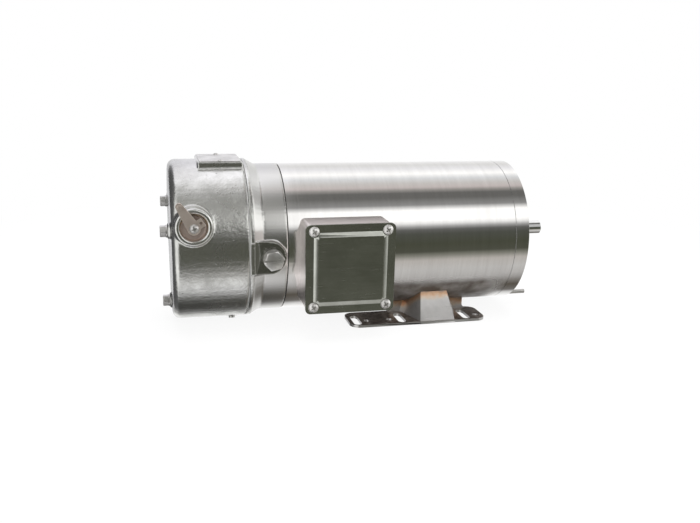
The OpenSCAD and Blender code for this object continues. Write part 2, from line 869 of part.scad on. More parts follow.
module pressure_plate() {
    color("gray") difference() {
        ring_x(armature_x0, armature_x1, brake_bore_r, magnet_r);
        for (a = stud_angles) at_angle(a, stud_circle_r)
            rod_x(armature_x0 - eps, armature_x1 + eps, spacer_r + slide_gap);
        for (s = [-1, 1]) translate([0, s * pin_y, pin_z])
            rod_x(armature_x0 - eps, armature_x0 + pin_seat, pin_r + seat_gap);
    }
}

module magnet_body() {
    color("dimgray") difference() {
        ring_x(magnet_x0, magnet_x1, magnet_bore_r, magnet_r);
        ring_x(magnet_x1 - coil_deep, magnet_x1 + eps, coil_in_r, coil_out_r);
        for (a = stud_angles) at_angle(a, stud_circle_r)
            rod_x(magnet_x0 - eps, magnet_x1 + eps, stud_r + 0.1);
        for (a = spring_angles) at_angle(a, stud_circle_r)
            rod_x(magnet_x1 - spring_deep, magnet_x1 + eps, spring_pocket_r);
        for (s = [-1, 1]) translate([0, s * pin_y, pin_z])
            rod_x(magnet_x0 - eps, magnet_x1 + eps, pin_r + slide_gap);
    }
}

module brake_coil() {
    color("peru") ring_x(magnet_x1 - coil_deep + 0.1, magnet_x1 - 1.5,
        coil_in_r + coil_gap, coil_out_r - coil_gap);
}

// Each spring is a corrugated sleeve of the coil's outer and inner size
module brake_springs() {
    reach = spring_deep + plate_travel - 0.1;
    pitch = reach / coil_turns;
    color("steelblue") for (a = spring_angles) at_angle(a, stud_circle_r) {
        translate([magnet_x1 - spring_deep + 0.05, 0, 0]) {
            ring_x(0, reach, spring_r - 1.2, spring_r - 0.7);
            for (i = [0:coil_turns - 1])
                ring_x((i + 0.25) * pitch, (i + 0.75) * pitch, spring_r - 1, spring_r);
        }
    }
}

module brake_spacers() {
    color("gray") for (a = stud_angles) at_angle(a, stud_circle_r)
        ring_x(magnet_x1, stack_x0, stud_r + 0.1, spacer_r);
}

module brake_mount_bolts() {
    color("lightgray") for (a = stud_angles) at_angle(a, stud_circle_r) {
        rod_x(magnet_x0 - 0.2, brake_face_x + stud_thread - 0.5, stud_r);
        hex_x(magnet_x0 - stud_nut_h, magnet_x0, 10);
    }
}

module release_bracket() {
    color("gray") difference() {
        union() {
            translate([magnet_x0 - bracket_t, -lug_y - lug_w / 2, bracket_low])
                cube([bracket_t, 2 * lug_y + lug_w, bracket_high - bracket_low]);
            for (s = [-1, 1]) translate([release_x - release_r - 2, s * lug_y - lug_w / 2, bracket_low])
                cube([magnet_x0 - release_x + release_r + 2, lug_w, bracket_high - bracket_low]);
        }
        translate([release_x, 0, release_z]) rod_y(-lug_y - lug_w, lug_y + lug_w, release_r + run_gap);
    }
}

module release_pins() {
    color("lightgray") for (s = [-1, 1]) translate([0, s * pin_y, pin_z])
        rod_x(bridge_x0 - nut_h + 0.5, armature_x0 + pin_seat - 0.1, pin_r);
}

module release_bridge() {
    color("gray") difference() {
        translate([bridge_x0, -bridge_w / 2, bridge_low])
            cube([bridge_t, bridge_w, bridge_high - bridge_low]);
        for (s = [-1, 1]) translate([0, s * pin_y, pin_z])
            rod_x(bridge_x0 - eps, bridge_x1 + eps, pin_r + seat_gap);
    }
}

module release_nuts() {
    color("lightgray") for (s = [-1, 1]) translate([0, s * pin_y, pin_z]) difference() {
        hex_x(bridge_x0 - nut_h, bridge_x0, 8);
        rod_x(bridge_x0 - nut_h - eps, bridge_x0 + eps, pin_r + seat_gap);
    }
}

module release_shaft() {
    color("lightgray") translate([release_x, 0, release_z]) difference() {
        union() {
            rod_y(lever_y1, release_end_y, release_r);
            translate([0, 0, -cam_throw]) rod_y(-cam_w / 2, cam_w / 2, cam_r);
        }
        rod_y(lever_y1 - eps, lever_y1 + lever_screw_deep, lever_screw_r + seat_gap);
    }
}

module release_lever() {
    color("silver") translate([release_x, 0, release_z]) rotate([0, -lever_tilt, 0]) difference() {
        union() {
            hull() {
                rod_y(lever_y0, lever_y1, lever_hub_r, $fn = 32);
                translate([0, 0, lever_len]) rod_y(lever_y0, lever_y1, lever_tip_r, $fn = 32);
            }
            translate([0, lever_y0, -ear_w / 2 + 1]) cube([ear_len, lever_t, ear_w]);
            translate([0, 0, lever_len - 0.5]) rod_y(lever_y0 - dimple_h, lever_y0 + 1, dimple_r);
        }
        rod_y(lever_y0 - eps, lever_y1 + eps, lever_screw_r + 0.2);
        translate([ear_len - 2.8, 0, 1]) rod_y(lever_y0 - eps, lever_y1 + eps, ear_hole_r);
    }
}

module lever_screw() {
    color("lightgray") translate([release_x, 0, release_z]) {
        rod_y(lever_y0 - 0.2, lever_y1 + lever_screw_deep - 0.5, lever_screw_r);
        translate([0, lever_y0, 0]) rotate([90, 0, 0]) rotate([0, 0, 20]) pan_head(5, 2.8);
    }
}

module release_bush() {
    color("black") translate([release_x, 0, release_z]) difference() {
        rod_y(boss_face_y + boss_recess - bush_h, boss_face_y + boss_recess, bush_r);
        rod_y(boss_face_y, boss_face_y + boss_recess + eps, release_r + run_gap);
    }
}

// Half section of the cover, between the axis and its outside, with a rounded closed end
module cover_half(r_rim, r_end, x0, x1, corner) {
    difference() {
        polygon([[0, x0], [r_end, x0], [r_end, x0 + corner], [r_rim, x1], [0, x1]]);
        difference() {
            translate([r_end - corner, x0 - corner]) square([2 * corner, 2 * corner]);
            translate([r_end - corner, x0 + corner]) circle(r = corner);
        }
    }
}

module brake_cover() {
    color("gainsboro") difference() {
        union() {
            difference() {
                union() {
                    turned() cover_half(cover_r, cover_end_r, cover_x0, cover_x1, cover_round);
                    translate([plate_pad_x1 - plate_pad_w, -plate_pad_half, 0])
                        cube([plate_pad_w, 2 * plate_pad_half, plate_pad_z]);
                    for (i = [0:2]) at_angle(bolt_angles[i], cover_bolt_circle_r)
                        rod_x(cover_x0 - bolt_stand[i], cover_x0 + 5, bolt_pad_r);
                    at_angle(drain_angle, 0) translate([cover_drain_x, 0, 0])
                        rod_y(cover_r - 5, cover_r + 0.6, cover_drain_r + 2.5);
                }
                turned() cover_half(cover_r - cover_wall, cover_end_r - cover_wall, cover_x0 + cover_wall,
                    cover_x1 + eps, cover_round - cover_wall);
            }
            translate([release_x, 0, release_z]) {
                rod_y(boss_face_y + boss_rim_r, boss_in_y, boss_r);
                translate([0, boss_face_y + boss_rim_r, 0]) rotate([90, 0, 0]) rotate_extrude()
                    translate([boss_r - boss_rim_r, 0]) circle(r = boss_rim_r);
            }
        }
        translate([release_x, 0, release_z]) {
            rod_y(boss_face_y - eps, boss_face_y + boss_recess, boss_recess_r);
            rod_y(boss_face_y, boss_in_y + eps, release_r + run_gap);
        }
        for (a = bolt_angles) at_angle(a, cover_bolt_circle_r)
            rod_x(cover_x0 - 5, cover_x0 + 12, bolt_r + 0.2);
        for (s = [-1, 1]) translate([plate_pad_x1 - plate_pad_w / 2, s * name_screw_y, plate_pad_z - 5])
            cylinder(h = 6, r = name_screw_r + seat_gap);
        at_angle(drain_angle, 0) translate([cover_drain_x, 0, 0])
            rod_y(cover_r - 10, cover_r + 2, cover_drain_r - 1 + seat_gap);
    }
}

module cover_gasket() {
    color("black") ring_x(cover_x1, adapter_x0, cover_r - cover_wall, cover_r - 0.6);
}

module cover_bolts() {
    color("lightgray") for (i = [0:2]) {
        a = bolt_angles[i];
        head_x = cover_x0 - bolt_stand[i] - bolt_washer_t;
        at_angle(a, cover_bolt_circle_r) {
            rod_x(head_x - 0.2, brake_face_x + bolt_thread - 0.5, bolt_r);
            rotate([30 - a, 0, 0]) intersection() {
                hex_x(head_x - bolt_head_h, head_x, bolt_af);
                cone_x(head_x - bolt_head_h, head_x, bolt_af / 2 - 0.2, bolt_af / 2 + 2 * bolt_head_h);
            }
        }
    }
}

module cover_washers() {
    color("silver") for (i = [0:2]) {
        seat_x = cover_x0 - bolt_stand[i];
        at_angle(bolt_angles[i], cover_bolt_circle_r)
            ring_x(seat_x - bolt_washer_t, seat_x, bolt_r + 0.2, bolt_washer_r);
    }
}

module nameplate() {
    color("whitesmoke") translate([plate_pad_x1 - plate_pad_w / 2, 0, plate_pad_z]) difference() {
        linear_extrude(height = name_t)
            round_rect(plate_pad_w - 2 * name_inset, 2 * plate_pad_half - 2 * name_inset, 2);
        for (s = [-1, 1]) translate([0, s * name_screw_y, -eps])
            cylinder(h = name_t + 2 * eps, r = name_screw_r + 0.1);
    }
}

module nameplate_screws() {
    color("lightgray") for (s = [-1, 1])
        translate([plate_pad_x1 - plate_pad_w / 2, s * name_screw_y, plate_pad_z]) {
            translate([0, 0, -4]) cylinder(h = 4 + name_t + 0.2, r = name_screw_r);
            translate([0, 0, name_t]) pan_head(3, 1.5);
        }
}

module inlet_plug() {
    face_y = pad_y - plug_washer_t;
    color("gainsboro") translate([plug_x, 0, plug_z]) difference() {
        union() {
            rod_y(face_y - 0.2, pad_y + 11, plug_shank_r);
            translate([0, face_y, 0]) rotate([90, 0, 0]) intersection() {
                rotate([0, 0, 12]) cylinder(h = plug_h, r = plug_af / sqrt(3), $fn = 6);
                cylinder(h = plug_h, r1 = plug_af / 2 + 2 * plug_h, r2 = plug_af / 2 - 0.6);
            }
        }
        translate([-plug_af, face_y - plug_h - eps, -0.8]) cube([2 * plug_af, 1 + eps, 1.6]);
    }
}

module inlet_washer() {
    color("silver") translate([plug_x, 0, plug_z]) difference() {
        rod_y(pad_y - plug_washer_t, pad_y, plug_washer_r);
        rod_y(pad_y - plug_washer_t - eps, pad_y + eps, plug_shank_r + 0.1);
    }
}

module cover_drain() {
    color("dimgray") at_angle(drain_angle, 0) translate([cover_drain_x, 0, 0]) {
        rod_y(cover_r - 5.5, cover_r + 0.8, cover_drain_r - 1);
        rod_y(cover_r + 0.6, cover_r + cover_drain_out, cover_drain_r);
    }
}

module drive_drain() {
    color("gray") at_angle(drain_angle, drain_circle_r)
        ring_x(-drain_deep + 0.5, drain_out, drain_bore_r, drain_r);
}

frame_shell();
drive_endbell();
brake_endbell();
stator_core();
stator_winding();
tie_bolts();
conduit_box();
box_gasket();
box_cover();
box_cover_screws();
terminal_block();
ground_screw();
foot_front();
foot_rear();
drive_bearing_outer();
rear_bearing_outer();
preload_spring();
shaft_seal();
friction_plate();
magnet_body();
brake_coil();
brake_springs();
brake_spacers();
brake_mount_bolts();
release_bracket();
brake_cover();
cover_gasket();
cover_bolts();
cover_washers();
release_bush();
nameplate();
nameplate_screws();
inlet_plug();
inlet_washer();
cover_drain();
drive_drain();
motor_shaft();
rotor_core();
rotor_end_rings();
drive_bearing_inner();
rear_bearing_inner();
shaft_slinger();
brake_hub();
hub_key();
friction_disc();
hub_ring();
drive_balls();
drive_cage();
rear_balls();
rear_cage();
pressure_plate();
release_pins();
release_bridge();
release_nuts();
release_shaft();
release_lever();
lever_screw();
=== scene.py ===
import json
import math

import bmesh
import bpy
from mathutils import Matrix, Vector


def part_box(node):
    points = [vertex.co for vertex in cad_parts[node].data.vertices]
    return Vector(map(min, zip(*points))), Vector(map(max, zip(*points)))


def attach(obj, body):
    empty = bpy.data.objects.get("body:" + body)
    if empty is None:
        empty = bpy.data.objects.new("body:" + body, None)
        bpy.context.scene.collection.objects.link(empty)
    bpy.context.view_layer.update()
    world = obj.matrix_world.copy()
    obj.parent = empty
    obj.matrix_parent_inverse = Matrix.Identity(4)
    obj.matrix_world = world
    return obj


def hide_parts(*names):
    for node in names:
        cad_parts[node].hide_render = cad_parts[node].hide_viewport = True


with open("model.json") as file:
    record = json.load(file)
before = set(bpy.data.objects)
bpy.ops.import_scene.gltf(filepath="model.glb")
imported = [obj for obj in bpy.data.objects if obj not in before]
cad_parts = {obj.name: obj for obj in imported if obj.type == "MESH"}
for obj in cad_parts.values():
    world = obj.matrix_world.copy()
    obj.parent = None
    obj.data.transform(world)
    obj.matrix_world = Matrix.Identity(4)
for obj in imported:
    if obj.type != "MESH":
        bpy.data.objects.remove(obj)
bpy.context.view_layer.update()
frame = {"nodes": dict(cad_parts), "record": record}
nodes = frame["nodes"]
scene = bpy.context.scene
print("frame loaded,", len(nodes), "nodes")

# where things are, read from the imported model
frameLow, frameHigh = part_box("frame_shell")
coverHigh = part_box("brake_cover")[1]
footLow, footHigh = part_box("foot_front")
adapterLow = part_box("brake_endbell")[0]
releaseLow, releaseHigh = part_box("release_shaft")
releaseAxis = (releaseLow + releaseHigh) / 2
frameRadius = frameHigh.y
floorHeight = footLow.z


# camera
cameraView = {
    "place": (-0.4096, -0.8892, 0.2107),
    "yaw": 0.247,        # turned towards +X, radians
    "pitch": -0.261,     # looking down
    "roll": 0.024,
    "lens": 41.73,
    "sensor": 36.0,
}


def addCamera(view):
    yaw, pitch, roll = view["yaw"], view["pitch"], view["roll"]
    forward = Vector((math.sin(yaw) * math.cos(pitch), math.cos(yaw) * math.cos(pitch), math.sin(pitch)))
    level = Vector((math.cos(yaw), -math.sin(yaw), 0.0))
    upright = level.cross(forward)
    right = level * math.cos(roll) + upright * math.sin(roll)
    up = upright * math.cos(roll) - level * math.sin(roll)
    data = bpy.data.cameras.new("productCamera")
    data.lens = view["lens"]
    data.sensor_width = view["sensor"]
    data.clip_start = 0.01
    camera = bpy.data.objects.new("productCamera", data)
    scene.collection.objects.link(camera)
    turn = Matrix((right, up, -forward)).transposed().to_4x4()
    camera.matrix_world = Matrix.Translation(view["place"]) @ turn
    scene.camera = camera


addCamera(cameraView)
scene.view_settings.view_transform = "Standard"


# node helpers
def nodeTree(owner):
    owner.use_nodes = True
    tree = owner.node_tree
    tree.nodes.clear()
    return tree


def addNode(tree, kind, **values):
    node = tree.nodes.new(kind)
    for key, value in values.items():
        setattr(node, key, value)
    return node


def feed(tree, socket, value):
    # a socket takes either another node's output or a plain value
    if isinstance(value, bpy.types.NodeSocket):
        tree.links.new(value, socket)
    else:
        socket.default_value = value


def mathNode(tree, operation, first, second=0.0, third=None, clamp=False):
    node = addNode(tree, "ShaderNodeMath", operation=operation, use_clamp=clamp)
    feed(tree, node.inputs[0], first)
    feed(tree, node.inputs[1], second)
    if third is not None:
        feed(tree, node.inputs[2], third)
    return node.outputs[0]


def times(tree, first, second):
    return mathNode(tree, "MULTIPLY", first, second)


def splitAxes(tree, vector):
    node = addNode(tree, "ShaderNodeSeparateXYZ")
    feed(tree, node.inputs[0], vector)
    return node.outputs


def joinAxes(tree, **values):
    node = addNode(tree, "ShaderNodeCombineXYZ")
    for axis, value in values.items():
        feed(tree, node.inputs[axis], value)
    return node.outputs[0]


def vectorNode(tree, operation, vector, second=None):
    node = addNode(tree, "ShaderNodeVectorMath", operation=operation)
    feed(tree, node.inputs[0], vector)
    if second is not None:
        feed(tree, node.inputs[1], second)
    return node.outputs


def mapRange(tree, value, fromLow, fromHigh, toLow=0.0, toHigh=1.0, smooth=False):
    node = addNode(tree, "ShaderNodeMapRange", clamp=True)
    if smooth:
        node.interpolation_type = "SMOOTHSTEP"
    for socket, number in zip(node.inputs[:5], (value, fromLow, fromHigh, toLow, toHigh)):
        feed(tree, socket, number)
    return node.outputs[0]


def mixColor(tree, amount, first, second, blend="MIX"):
    node = addNode(tree, "ShaderNodeMix", data_type="RGBA", blend_type=blend)
    feed(tree, node.inputs[0], amount)
    feed(tree, node.inputs[6], first)
    feed(tree, node.inputs[7], second)
    return node.outputs[2]


def rgba(color):
    return (*color, 1.0)


def shaded(tree, color, shade):
    return mixColor(tree, 1.0, color, shade, "MULTIPLY")


def noise(tree, vector, scale, detail=3.0, rough=0.5):
    node = addNode(tree, "ShaderNodeTexNoise")
    feed(tree, node.inputs["Vector"], vector)
    node.inputs["Scale"].default_value = scale
    node.inputs["Detail"].default_value = detail
    node.inputs["Roughness"].default_value = rough
    return node.outputs["Fac"]


def colorRamp(tree, share, marks, first, last):
    # marks are pairs of a value between first and last, and the color there
    ramp = addNode(tree, "ShaderNodeValToRGB")
    feed(tree, ramp.inputs[0], share)
    stops = ramp.color_ramp.elements
    while len(stops) > 1:
        stops.remove(stops[-1])
    for index, (value, color) in enumerate(marks):
        spot = (value - first) / (last - first)
        stop = stops[0] if index == 0 else stops.new(spot)
        stop.position = spot
        stop.color = rgba(color)
    return ramp.outputs["Color"]


# studio
# brightness of the room seen round the shaft axis: 0 is the front horizon, 90 is overhead
studioBands = [
    (-180, (1.05, 1.05, 1.06)),
    (-140, (1.1, 1.1, 1.1)),
    (-125, (0.85, 0.85, 0.85)),
    (-114, (0.22, 0.21, 0.20)),
    (-95, (0.13, 0.115, 0.095)),
    (-82, (0.3, 0.285, 0.27)),
    (-75, (0.46, 0.45, 0.44)),
    (-66, (0.6, 0.59, 0.58)),
    (-52, (0.68, 0.67, 0.66)),
    (-36, (0.62, 0.59, 0.56)),
    (-28, (0.3, 0.3, 0.26)),
    (-21, (0.1, 0.104, 0.08)),
    (-8, (0.085, 0.09, 0.065)),
    (8, (0.1, 0.105, 0.09)),
    (15, (0.16, 0.16, 0.155)),
    (20, (0.5, 0.5, 0.5)),
    (25, (1.15, 1.15, 1.15)),
    (30, (1.5, 1.5, 1.5)),
    (46, (1.5, 1.5, 1.5)),
    (50, (0.95, 0.95, 0.95)),
    (55, (0.36, 0.36, 0.36)),
    (61, (0.28, 0.28, 0.275)),
    (68, (0.18, 0.178, 0.172)),
    (77, (0.18, 0.178, 0.172)),
    (83, (0.42, 0.4, 0.385)),
    (88, (0.74, 0.67, 0.66)),
    (97, (0.78, 0.755, 0.74)),
    (108, (0.95, 0.97, 1.0)),
    (120, (1.45, 1.45, 1.45)),
    (136, (1.1, 1.1, 1.14)),
    (150, (0.95, 0.95, 0.95)),
    (180, (1.05, 1.05, 1.06)),
]

# the same round the left end, where the long strip light no longer shows
leftBands = [
    (-180, (1.0, 1.0, 1.03)),
    (-155, (1.25, 1.25, 1.26)),
    (-136, (1.15, 1.15, 1.15)),
    (-127, (0.55, 0.55, 0.55)),
    (-117, (0.13, 0.13, 0.13)),
    (-107, (0.055, 0.055, 0.052)),
    (-90, (0.06, 0.062, 0.058)),
    (-80, (0.22, 0.22, 0.22)),
    (-68, (0.85, 0.85, 0.88)),
    (-54, (1.25, 1.25, 1.27)),
    (-46, (0.72, 0.72, 0.72)),
    (-38, (0.3, 0.3, 0.295)),
    (-27, (0.13, 0.132, 0.12)),
    (-12, (0.12, 0.122, 0.1)),
    (8, (0.12, 0.12, 0.103)),
    (20, (0.16, 0.16, 0.15)),
    (33, (0.22, 0.22, 0.21)),
    (46, (0.31, 0.31, 0.3)),
    (57, (0.5, 0.5, 0.48)),
    (70, (0.64, 0.64, 0.63)),
    (81, (0.84, 0.84, 0.86)),
    (93, (1.3, 1.3, 1.34)),
    (107, (1.6, 1.58, 1.68)),
    (122, (1.35, 1.33, 1.42)),
    (150, (0.98, 0.97, 1.05)),
    (180, (1.0, 1.0, 1.03)),
]

# how bright the room is from the front (0) round the left end (90) to the back (180)
leftEnd = [
    (0, (0.9, 0.9, 0.9)),
    (16, (1.25, 1.25, 1.25)),
    (66, (1.3, 1.3, 1.3)),
    (80, (0.15, 0.15, 0.152)),
    (160, (0.1, 0.1, 0.105)),
    (180, (0.35, 0.35, 0.36)),
]

# how bright the room past the shaft end is, by height from -1 to 1
rightEnd = [
    (-1.0, (0.7, 0.7, 0.7)),
    (-0.6, (0.9, 0.9, 0.9)),
    (-0.32, (0.55, 0.55, 0.53)),
    (-0.12, (1.2, 1.2, 1.2)),
    (0.08, (1.7, 1.7, 1.7)),
    (0.45, (1.6, 1.6, 1.6)),
    (0.56, (0.55, 0.55, 0.55)),
    (0.7, (0.4, 0.4, 0.4)),
    (0.85, (0.85, 0.85, 0.87)),
    (1.0, (1.1, 1.1, 1.12)),
]

studio = {
    "stripEnd": (0.10, 0.18),          # where the bands change over, along X
    "rightSide": (0.6, 0.85),          # where the room past the shaft end takes over
    "leftSide": (0.26, 0.42),
    "floorColor": (0.95, 0.95, 0.95),
    "floorReach": 4.0,
    "floorGap": 0.0002,                # how far it lies below the feet
    "floorGlow": (0.9, 1.0),           # beside the object, and further out
    "glowSpread": (0.3, 0.75),
}

lamps = [
    # name, place, size and power
    ("softTop", (-0.15, -0.1, 1.1), (1.2, 0.8), 12.0),
    ("softFront", (-0.5, -1.2, 0.7), (0.9, 0.7), 6.0),
    ("softBack", (-0.2, 1.2, 0.7), (1.2, 0.7), 6.0),
]


def buildWorld():
    world = bpy.data.worlds.new("studio")
    scene.world = world
    tree = nodeTree(world)
    direction = splitAxes(tree, addNode(tree, "ShaderNodeTexCoord").outputs["Generated"])
    toFront = times(tree, direction["Y"], -1.0)
    toLeft = times(tree, direction["X"], -1.0)
    aroundShaft = mapRange(tree, mathNode(tree, "ARCTAN2", direction["Z"], toFront), -math.pi, math.pi)
    main = colorRamp(tree, aroundShaft, studioBands, -180.0, 180.0)
    left = colorRamp(tree, aroundShaft, leftBands, -180.0, 180.0)
    change = mapRange(tree, direction["X"], *studio["stripEnd"], smooth=True)
    bands = mixColor(tree, change, left, main)
    # towards either end of the shaft the bands fade into a plainer room
    besideShaft = mapRange(tree, mathNode(tree, "ARCTAN2", toLeft, toFront), 0.0, math.pi)
    leftRoom = colorRamp(tree, besideShaft, leftEnd, 0.0, 180.0)
    height = mapRange(tree, direction["Z"], -1.0, 1.0)
    rightRoom = colorRamp(tree, height, rightEnd, -1.0, 1.0)
    pastRight = mapRange(tree, direction["X"], *studio["rightSide"], smooth=True)
    pastLeft = mapRange(tree, toLeft, *studio["leftSide"], smooth=True)
    room = mixColor(tree, pastRight, bands, rightRoom)
    room = mixColor(tree, pastLeft, room, leftRoom)
    lit = addNode(tree, "ShaderNodeBackground")
    feed(tree, lit.inputs["Color"], room)
    white = addNode(tree, "ShaderNodeBackground")
    white.inputs["Color"].default_value = (1, 1, 1, 1)
    seen = addNode(tree, "ShaderNodeMixShader")
    feed(tree, seen.inputs[0], addNode(tree, "ShaderNodeLightPath").outputs["Is Camera Ray"])
    tree.links.new(lit.outputs[0], seen.inputs[1])
    tree.links.new(white.outputs[0], seen.inputs[2])
    out = addNode(tree, "ShaderNodeOutputWorld")
    tree.links.new(seen.outputs[0], out.inputs["Surface"])


def addLamp(name, place, size, power):
    data = bpy.data.lights.new(name, "AREA")
    data.shape = "RECTANGLE"
    data.size, data.size_y = size
    data.energy = power
    lamp = bpy.data.objects.new(name, data)
    scene.collection.objects.link(lamp)
    lamp.location = place
    aim = Vector((frameLow.x, 0.0, 0.0)) - Vector(place)
    lamp.rotation_euler = aim.to_track_quat("-Z", "Y").to_euler()
    lamp.visible_glossy = False


def buildFloor():
    mesh = bpy.data.meshes.new("studioFloor")
    reach = studio["floorReach"]
    corners = [(-reach, -reach), (reach, -reach), (reach, reach), (-reach, reach)]
    mesh.from_pydata([(x, y, floorHeight - studio["floorGap"]) for x, y in corners], [], [(0, 1, 2, 3)])
    floor = bpy.data.objects.new("studioFloor", mesh)
    scene.collection.objects.link(floor)
    material = bpy.data.materials.new("floorWhite")
    tree = nodeTree(material)
    matte = addNode(tree, "ShaderNodeBsdfDiffuse")
    matte.inputs["Color"].default_value = rgba(studio["floorColor"])
    glow = addNode(tree, "ShaderNodeEmission")
    clear = addNode(tree, "ShaderNodeBsdfTransparent")
    path = addNode(tree, "ShaderNodeLightPath").outputs
    # the glow is weakest beside the object, where its shadow falls
    middle = ((frameLow.x + frameHigh.x) / 2, 0.0, floorHeight)
    place = addNode(tree, "ShaderNodeTexCoord").outputs["Object"]
    away = vectorNode(tree, "DISTANCE", place, middle)["Value"]
    share = mapRange(tree, away, *studio["glowSpread"], *studio["floorGlow"], smooth=True)
    pale = addNode(tree, "ShaderNodeMixShader")
    feed(tree, pale.inputs[0], times(tree, path["Is Camera Ray"], share))
    tree.links.new(matte.outputs[0], pale.inputs[1])
    tree.links.new(glow.outputs[0], pale.inputs[2])
    # metal sees the room's lower half through the floor
    reflected = addNode(tree, "ShaderNodeMixShader")
    feed(tree, reflected.inputs[0], path["Is Glossy Ray"])
    tree.links.new(pale.outputs[0], reflected.inputs[1])
    tree.links.new(clear.outputs[0], reflected.inputs[2])
    out = addNode(tree, "ShaderNodeOutputMaterial")
    tree.links.new(reflected.outputs[0], out.inputs["Surface"])
    mesh.materials.append(material)


buildWorld()
buildFloor()
for lamp in lamps:
    addLamp(*lamp)
print("studio built")


# shared shader groups
def newGroup(name, inputs, outputs):
    group = bpy.data.node_groups.new(name, "ShaderNodeTree")
    for label, kind, value in inputs:
        socket = group.interface.new_socket(label, in_out="INPUT", socket_type=kind)
        if value is not None:
            socket.default_value = value
    for label, kind in outputs:
        group.interface.new_socket(label, in_out="OUTPUT", socket_type=kind)
    return group, addNode(group, "NodeGroupInput"), addNode(group, "NodeGroupOutput")


turningMarks = {
    "grain": (1500.0, 4.0, 0.65),      # scale, detail and roughness of a noise, here and below
    "streak": (160.0, 3.0, 0.6),
    "circle": 0.004,                   # keeps the marks nearly even round the shaft
}

castTexture = {
    "peel": (430.0, 3.0, 0.55),
    "dents": (95.0, 2.0, 0.5),
    "dentHeight": 1.1,
    "patch": (38.0, 4.0, 0.6),
    "pitScale": 260.0,
    "pitRadius": (0.06, 0.2),
    "pitSpread": (0.54, 0.62),
    "pitDepth": 0.9,
}

sheetTexture = {
    "grain": (1400.0, 3.0, 0.6),
    "patch": (45.0, 3.0, 0.55),
    "scratchRun": (40.0, 900.0, 700.0),
    "scratchWidth": 0.006,
}

heatTints = [
    # from the weld outwards
    (0.0, (0.3, 0.2, 0.14)),
    (0.3, (0.52, 0.27, 0.12)),
    (0.6, (0.68, 0.42, 0.2)),
    (1.0, (0.75, 0.66, 0.52)),
]


def shaftGrainGroup():
    # fine turning marks that run round the shaft axis
    inputs = [("Vector", "NodeSocketVector", None)]
    outputs = [("Grain", "NodeSocketFloat"), ("Streak", "NodeSocketFloat")]
    group, start, end = newGroup("shaftGrain", inputs, outputs)
    place = splitAxes(group, start.outputs["Vector"])
    angle = mathNode(group, "ARCTAN2", place["Z"], place["Y"])
    circle = turningMarks["circle"]
    packed = joinAxes(
        group,
        X=place["X"],
        Y=times(group, mathNode(group, "SINE", angle), circle),
        Z=times(group, mathNode(group, "COSINE", angle), circle),
    )
    feed(group, end.inputs["Grain"], noise(group, packed, *turningMarks["grain"]))
    feed(group, end.inputs["Streak"], noise(group, packed, *turningMarks["streak"]))
    return group


def castSkinGroup():
    # orange peel, shallow dents and small pits of an investment casting
    inputs = [("Vector", "NodeSocketVector", None), ("Peel", "NodeSocketFloat", 1.0)]
    outputs = [("Height", "NodeSocketFloat"), ("Patch", "NodeSocketFloat"), ("Pits", "NodeSocketFloat")]
    group, start, end = newGroup("castSkin", inputs, outputs)
    vector = start.outputs["Vector"]
    look = castTexture
    peel = noise(group, vector, *look["peel"])
    dents = noise(group, vector, *look["dents"])
    cells = addNode(group, "ShaderNodeTexVoronoi", feature="F1")
    feed(group, cells.inputs["Vector"], vector)
    cells.inputs["Scale"].default_value = look["pitScale"]
    near = mapRange(group, cells.outputs["Distance"], *look["pitRadius"], 1.0, 0.0, smooth=True)
    sparse = mapRange(group, noise(group, vector, 60.0, 2.0), *look["pitSpread"])
    pits = times(group, near, sparse)
    height = times(group, peel, start.outputs["Peel"])
    height = mathNode(group, "MULTIPLY_ADD", dents, look["dentHeight"], height)
    height = mathNode(group, "MULTIPLY_ADD", pits, -look["pitDepth"], height)
    feed(group, end.inputs["Height"], height)
    feed(group, end.inputs["Patch"], noise(group, vector, *look["patch"]))
    feed(group, end.inputs["Pits"], pits)
    return group


def sheetGrainGroup():
    # straight mill grain of rolled sheet, with a few handling scratches
    inputs = [("Vector", "NodeSocketVector", None), ("Stretch", "NodeSocketVector", (1.0, 1.0, 1.0))]
    outputs = [("Grain", "NodeSocketFloat"), ("Patch", "NodeSocketFloat"), ("Scratch", "NodeSocketFloat")]
    group, start, end = newGroup("sheetGrain", inputs, outputs)
    vector = start.outputs["Vector"]
    drawnOut = vectorNode(group, "MULTIPLY", vector, start.outputs["Stretch"])[0]
    look = sheetTexture
    thin = noise(group, vectorNode(group, "MULTIPLY", vector, look["scratchRun"])[0], 1.0, 1.0)
    fromMiddle = mathNode(group, "ABSOLUTE", mathNode(group, "SUBTRACT", thin, 0.5))
    feed(group, end.inputs["Grain"], noise(group, drawnOut, *look["grain"]))
    feed(group, end.inputs["Patch"], noise(group, vector, *look["patch"]))
    feed(group, end.inputs["Scratch"], mapRange(group, fromMiddle, 0.0, look["scratchWidth"], 1.0, 0.0))
    return group


def heatTintGroup():
    # straw, bronze and brown bands beside a weld, from a distance in metres
    inputs = [("Distance", "NodeSocketFloat", 0.0), ("Reach", "NodeSocketFloat", 0.012)]
    outputs = [("Color", "NodeSocketColor"), ("Amount", "NodeSocketFloat")]
    group, start, end = newGroup("heatTint", inputs, outputs)
    share = mathNode(group, "DIVIDE", start.outputs["Distance"], start.outputs["Reach"], clamp=True)
    feed(group, end.inputs["Color"], colorRamp(group, share, heatTints, 0.0, 1.0))
    feed(group, end.inputs["Amount"], mapRange(group, share, 0.1, 1.0, 1.0, 0.0, smooth=True))
    return group


groups = {
    "shaftGrain": shaftGrainGroup(),
    "castSkin": castSkinGroup(),
    "sheetGrain": sheetGrainGroup(),
    "heatTint": heatTintGroup(),
}


def useGroup(tree, name, **values):
    node = addNode(tree, "ShaderNodeGroup", node_tree=groups[name])
    for key, value in values.items():
        feed(tree, node.inputs[key], value)
    return node.outputs


